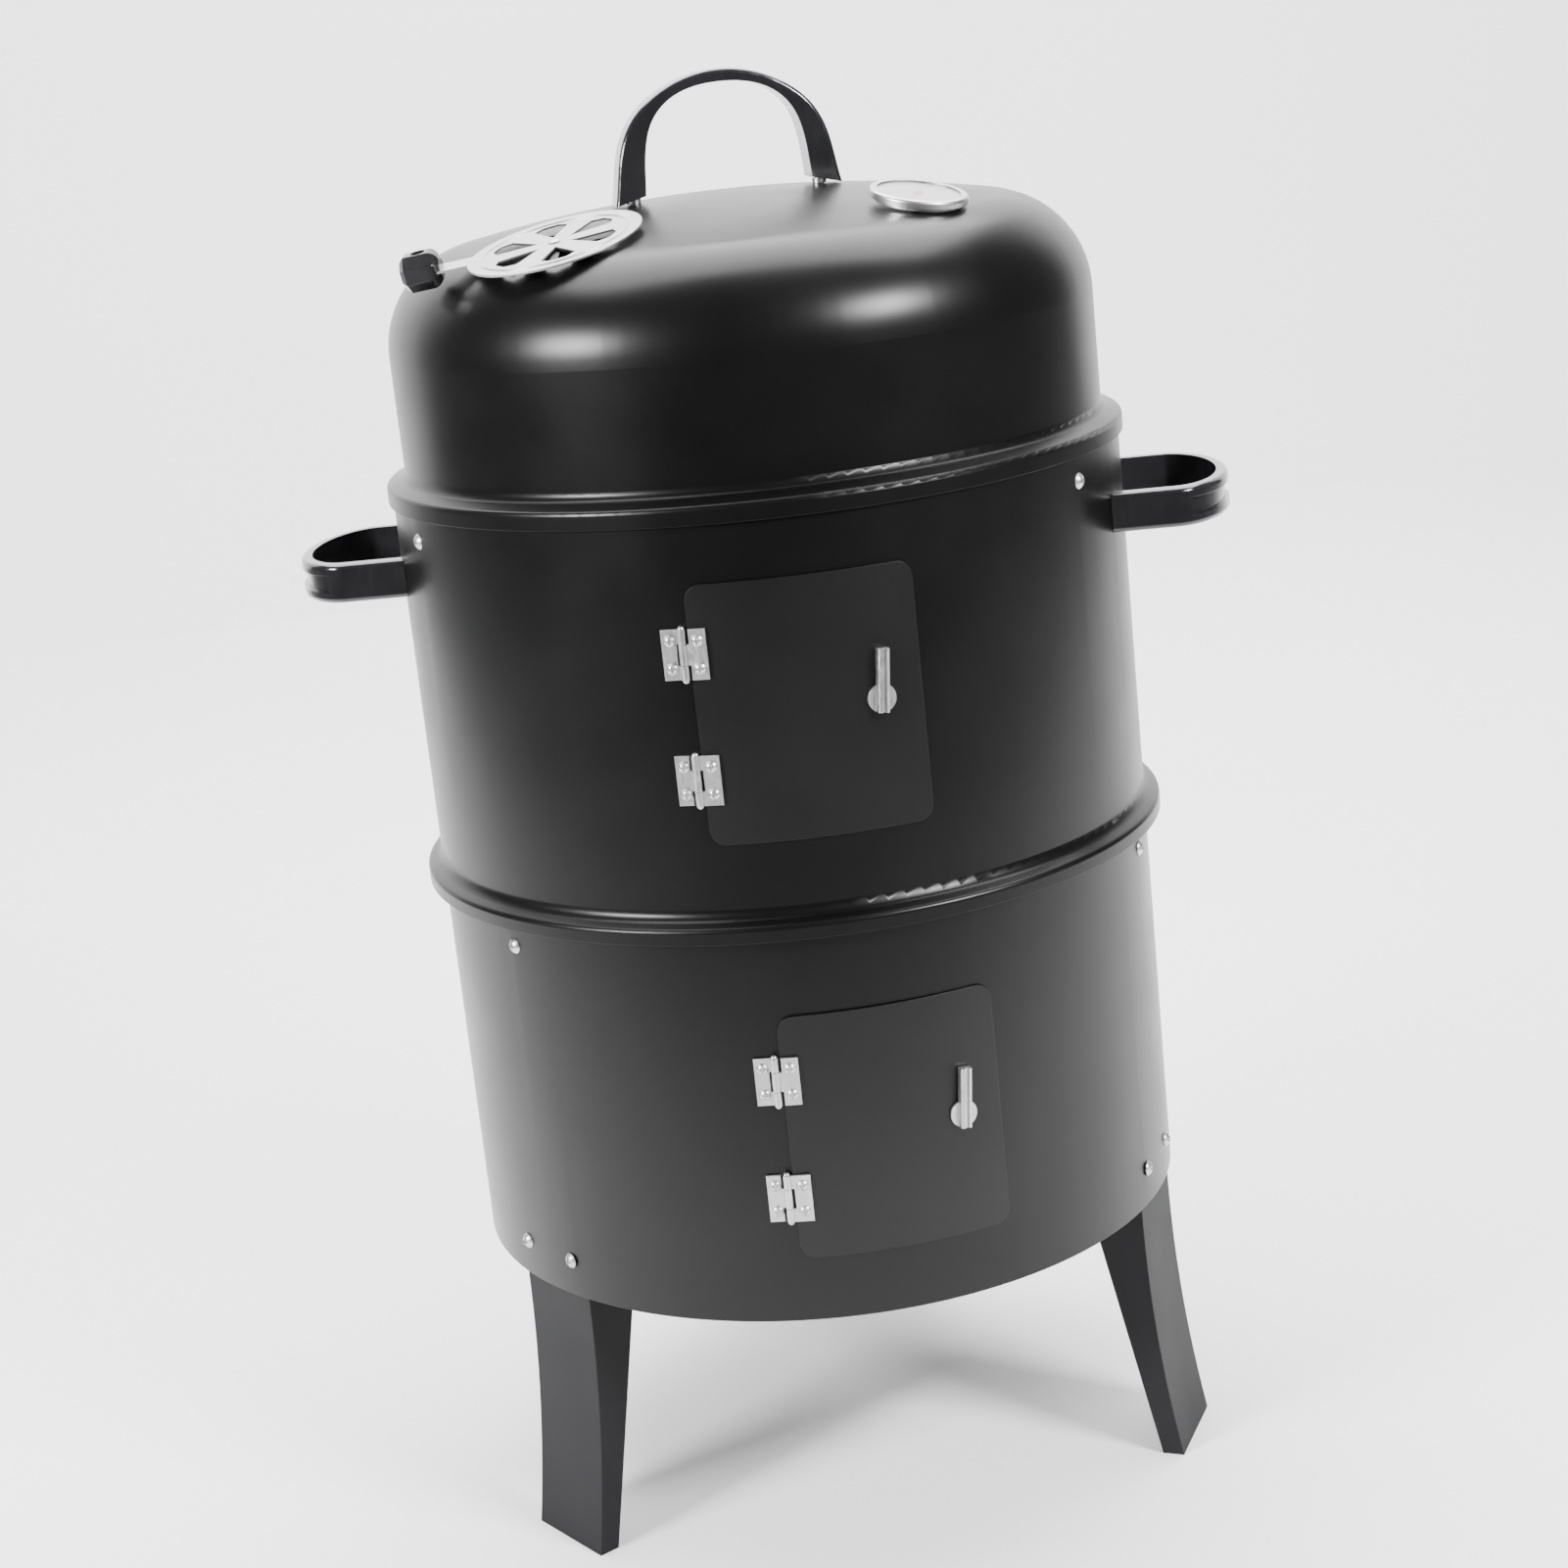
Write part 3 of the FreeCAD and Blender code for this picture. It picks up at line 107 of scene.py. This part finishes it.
# ---------------------------------------------------------------- finishes
class Finish:
    """A material built from textures in object space, which feed one Principled shader."""

    def __init__(self, name, **constants):
        self.material = bpy.data.materials.new(name)
        self.material.use_nodes = True
        self.tree = self.material.node_tree
        self.tree.nodes.clear()
        output = self.add("ShaderNodeOutputMaterial")
        self.shader = self.add("ShaderNodeBsdfPrincipled")
        self.link(self.shader.outputs["BSDF"], output.inputs["Surface"])
        for socket, value in constants.items():
            self.shader.inputs[socket.replace("_", " ")].default_value = value
        self.place = self.add("ShaderNodeTexCoord").outputs["Object"]
        self.normal = None

    def add(self, kind, **settings):
        node = self.tree.nodes.new(kind)
        for key, value in settings.items():
            setattr(node, key, value)
        return node

    def link(self, source, target):
        self.tree.links.new(source, target)

    def noise(self, scale, detail=3.0, stretch=(1, 1, 1)):
        """Noise with about `scale` features to the metre, squeezed along the axes by `stretch`."""
        mapping = self.add("ShaderNodeMapping")
        mapping.inputs["Scale"].default_value = stretch
        self.link(self.place, mapping.inputs["Vector"])
        texture = self.add("ShaderNodeTexNoise")
        texture.inputs["Scale"].default_value = scale
        texture.inputs["Detail"].default_value = detail
        self.link(mapping.outputs["Vector"], texture.inputs["Vector"])
        return texture.outputs["Fac"]

    def distance(self, centre):
        """How far a point is from a centre."""
        shift = self.add("ShaderNodeVectorMath", operation="DISTANCE")
        shift.inputs[1].default_value = centre
        self.link(self.place, shift.inputs[0])
        return shift.outputs["Value"]

    def rings(self, centre, scale):
        """Fine noise that only changes with the distance from a centre, as a turned surface has."""
        texture = self.add("ShaderNodeTexNoise", noise_dimensions="1D")
        texture.inputs["Scale"].default_value = scale
        texture.inputs["Detail"].default_value = 3.0
        self.link(self.distance(centre), texture.inputs["W"])
        return texture.outputs["Fac"]

    def spread(self, value, low, high, start=0.35, end=0.65):
        """The value mapped from start..end to low..high."""
        node = self.add("ShaderNodeMapRange")
        node.inputs["From Min"].default_value = start
        node.inputs["From Max"].default_value = end
        node.inputs["To Min"].default_value = low
        node.inputs["To Max"].default_value = high
        self.link(value, node.inputs["Value"])
        return node.outputs["Result"]

    def blend(self, amount, first, second):
        """A colour between two colours or colour sockets."""
        node = self.add("ShaderNodeMix", data_type="RGBA")
        self.link(amount, node.inputs["Factor"])
        for socket, colour in ((node.inputs["A"], first), (node.inputs["B"], second)):
            if isinstance(colour, bpy.types.NodeSocket):
                self.link(colour, socket)
            else:
                socket.default_value = (*colour, 1.0)
        return node.outputs["Result"]

    def soften_edges(self, radius):
        """Rounds sharp edges in the shading."""
        bevel = self.add("ShaderNodeBevel", samples=4)
        bevel.inputs["Radius"].default_value = radius
        self.normal = bevel.outputs["Normal"]

    def bump(self, height, depth):
        """Relief of a depth in metres on top of what is there."""
        node = self.add("ShaderNodeBump")
        node.inputs["Distance"].default_value = depth
        node.inputs["Strength"].default_value = 1.0
        self.link(height, node.inputs["Height"])
        if self.normal is not None:
            self.link(self.normal, node.inputs["Normal"])
        self.normal = node.outputs["Normal"]

    def worn_edges(self, radius):
        """Near 1 at edges that hands and tools rub, 0 on open faces."""
        bevel = self.add("ShaderNodeBevel", samples=4)
        bevel.inputs["Radius"].default_value = radius
        geometry = self.add("ShaderNodeNewGeometry")
        product = self.add("ShaderNodeVectorMath", operation="DOT_PRODUCT")
        self.link(bevel.outputs["Normal"], product.inputs[0])
        self.link(geometry.outputs["Normal"], product.inputs[1])
        return self.spread(product.outputs["Value"], 1.0, 0.0, start=0.75, end=0.97)

    def finish(self, colour, roughness):
        """Joins the colour, the roughness and the normal to the shader."""
        self.link(colour, self.shader.inputs["Base Color"])
        self.link(roughness, self.shader.inputs["Roughness"])
        if self.normal is not None:
            self.link(self.normal, self.shader.inputs["Normal"])
        return self.material


def shade(colour, factor):
    return tuple(channel * factor for channel in colour)


def painted(name, colour, roughness, ior, grain, depth, edge):
    """Satin or matt paint on steel: soft tone patches, a fine orange peel and faintly rubbed edges."""
    look = Finish(name, IOR=ior)
    patches = look.spread(look.noise(PAINT_PATCHES, detail=2.0), 0.0, 1.0, start=0.25, end=0.75)
    darker, paler = (shade(colour, tone) for tone in PAINT_TONES)
    body = look.blend(patches, darker, paler)
    rubbed = look.spread(look.worn_edges(edge), 0.0, PAINT_RUBBED_MOST, start=0.0, end=1.0)
    body = look.blend(rubbed, body, shade(colour, PAINT_RUBBED_TONE))
    look.soften_edges(edge)
    look.bump(look.noise(grain, detail=2.0), depth)
    sheen = look.spread(look.noise(PAINT_SHEEN, detail=1.0), roughness - PAINT_SHEEN_SWING,
                        roughness + PAINT_SHEEN_SWING, start=0.25, end=0.75)
    return look.finish(body, sheen)


def metal(name, colour, roughness, stretch, edge, depth):
    """Bright plated or brushed steel: fine lines one way, and a slightly uneven tone."""
    look = Finish(name, Metallic=1.0)
    lines = look.noise(METAL_LINES, stretch=stretch)
    clouds = look.spread(look.noise(METAL_CLOUDS, detail=4.0), 0.0, 1.0)
    body = look.blend(clouds, shade(colour, METAL_DARKEST_TONE), colour)
    look.soften_edges(edge)
    look.bump(lines, depth)
    return look.finish(body, look.spread(lines, roughness - METAL_SMOOTHER, roughness + METAL_ROUGHER))


def vent_chrome():
    """Plate polished round the vent damper's centre."""
    colour = (0.56, 0.56, 0.56)
    look = Finish("vent_chrome", Metallic=1.0)
    lines = look.rings(centre_of("vent_damper"), scale=2600.0)
    clouds = look.spread(look.noise(scale=120.0, detail=4.0), 0.0, 1.0)
    body = look.blend(clouds, shade(colour, 0.9), colour)
    look.soften_edges(radius=0.0003)
    look.bump(lines, depth=0.00001)
    return look.finish(body, look.spread(lines, low=0.29, high=0.39))


def handle_phenolic():
    """Glossy moulded plastic: faint flow waves and tiny scuffs."""
    colour = (0.010, 0.010, 0.011)
    look = Finish("handle_phenolic", IOR=1.5, Coat_Weight=0.35, Coat_Roughness=0.08)
    flow = look.spread(look.noise(scale=30.0), 0.0, 1.0)
    body = look.blend(flow, shade(colour, 0.8), shade(colour, 1.25))
    look.soften_edges(radius=0.0006)
    look.bump(look.noise(scale=120.0, detail=2.0), depth=0.00005)
    scuffs = look.noise(scale=420.0, detail=5.0, stretch=(1.0, 1.0, 0.2))
    return look.finish(body, look.spread(scuffs, low=0.13, high=0.25, start=0.4, end=0.7))


def lens_glass():
    """Clear glass with a faint tint and a few hazy spots."""
    look = Finish("lens_glass", IOR=1.48, Transmission_Weight=1.0)
    body = look.blend(look.noise(scale=40.0), (0.94, 0.96, 0.96), (0.97, 0.98, 0.98))
    return look.finish(body, look.spread(look.noise(scale=300.0, detail=4.0), low=0.01, high=0.05))


def centre_of(node):
    low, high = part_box(node)
    return (low + high) / 2


def finishes():
    """One material for each of the record's slots."""
    made = {"vent_chrome": vent_chrome(), "handle_phenolic": handle_phenolic(), "lens_glass": lens_glass()}
    for name, values in PAINTS.items():
        made[name] = painted(name, **values)
    for name, values in METALS.items():
        made[name] = metal(name, **values)
    return made


def dress_nodes():
    """Gives each node the material of its slot in the record."""
    made = finishes()
    for part in RECORD["subparts"]:
        node = NODES[part["node"]]
        node.data.materials.clear()
        node.data.materials.append(made[part["material_slot"]])
        for polygon in node.data.polygons:
            polygon.material_index = 0


# ---------------------------------------------------------------- studio
def stage_sheet(name, corners, look, body):
    """A matt sheet of the studio through four corners."""
    mesh = bpy.data.meshes.new(name)
    mesh.from_pydata(corners, [], [(0, 1, 2, 3)])
    sheet = bpy.data.objects.new(name, mesh)
    bpy.context.collection.objects.link(sheet)
    look.bump(look.noise(scale=60.0), depth=0.0001)
    mesh.materials.append(look.finish(body, look.spread(look.noise(scale=4.0), low=0.8, high=0.9)))


def floor():
    """Pale round the smoker and back to the backdrop, and painted grey farther off: painted shade that stands
    in for the dim room.
    """
    look = Finish("studio_floor")
    pale = look.blend(look.spread(look.noise(scale=1.5), 0.0, 1.0), *FLOOR_PALE)
    # Painted shade: the floor turns grey away from its centre, standing in for the dim room beyond the lights.
    painted_shade_mix = look.spread(look.distance(FLOOR_CENTRE), 0.0, 1.0, start=FLOOR_PALE_R, end=FLOOR_PAINTED_SHADE_R)
    body = look.blend(painted_shade_mix, pale, FLOOR_PAINTED_SHADE)
    corners = [(-FLOOR_REACH, -FLOOR_REACH, 0), (FLOOR_REACH, -FLOOR_REACH, 0),
               (FLOOR_REACH, FLOOR_REACH, 0), (-FLOOR_REACH, FLOOR_REACH, 0)]
    stage_sheet("studio_floor", corners, look, body)


def backdrop():
    """A softly glowing wall behind the smoker."""
    look = Finish("studio_backdrop", Emission_Color=(1.0, 1.0, 1.0, 1.0), Emission_Strength=BACKDROP_GLOW)
    body = look.blend(look.spread(look.noise(scale=1.5), 0.0, 1.0), *BACKDROP_TONES)
    left = FLOOR_CENTRE[0] - BACKDROP_W / 2
    right = FLOOR_CENTRE[0] + BACKDROP_W / 2
    corners = [(left, BACKDROP_Y, 0), (right, BACKDROP_Y, 0),
               (right, BACKDROP_Y, BACKDROP_H), (left, BACKDROP_Y, BACKDROP_H)]
    stage_sheet("studio_backdrop", corners, look, body)


def soft_light(name, place, aim, width, height, power):
    light = bpy.data.lights.new(name, "AREA")
    light.shape = "RECTANGLE"
    light.size = width
    light.size_y = height
    light.energy = power
    holder = bpy.data.objects.new(name, light)
    holder.location = place
    holder.rotation_euler = (Vector(aim) - Vector(place)).to_track_quat("-Z", "Y").to_euler()
    bpy.context.collection.objects.link(holder)


def sky():
    """A dim white glow from all round."""
    world = bpy.data.worlds.new("studio")
    world.use_nodes = True
    background = world.node_tree.nodes["Background"]
    background.inputs["Color"].default_value = (1.0, 1.0, 1.0, 1.0)
    background.inputs["Strength"].default_value = SKY_GLOW
    bpy.context.scene.world = world


def studio():
    """A lit backdrop behind, a panel overhead and two soft boxes in front; the rest of the room is dim."""
    floor()
    backdrop()
    sky()
    for name, values in LIGHTS.items():
        soft_light(name, *values)


def camera():
    """Looks down at the smoker from its front left, leaning a little to one side."""
    forward = Vector((math.sin(CAMERA_TURN) * math.cos(CAMERA_DOWN),
                      math.cos(CAMERA_TURN) * math.cos(CAMERA_DOWN),
                      -math.sin(CAMERA_DOWN)))
    level = Vector((math.cos(CAMERA_TURN), -math.sin(CAMERA_TURN), 0.0))
    upright = level.cross(forward)
    right = level * math.cos(CAMERA_LEAN) - upright * math.sin(CAMERA_LEAN)
    up = level * math.sin(CAMERA_LEAN) + upright * math.cos(CAMERA_LEAN)
    data = bpy.data.cameras.new("camera")
    data.sensor_width = SENSOR_W
    data.lens = CAMERA_LENS
    holder = bpy.data.objects.new("camera", data)
    turn = Matrix((right, up, -forward)).transposed().to_4x4()
    holder.matrix_world = Matrix.Translation(CAMERA_PLACE) @ turn
    bpy.context.collection.objects.link(holder)
    bpy.context.scene.camera = holder


dress_nodes()
studio()
camera()
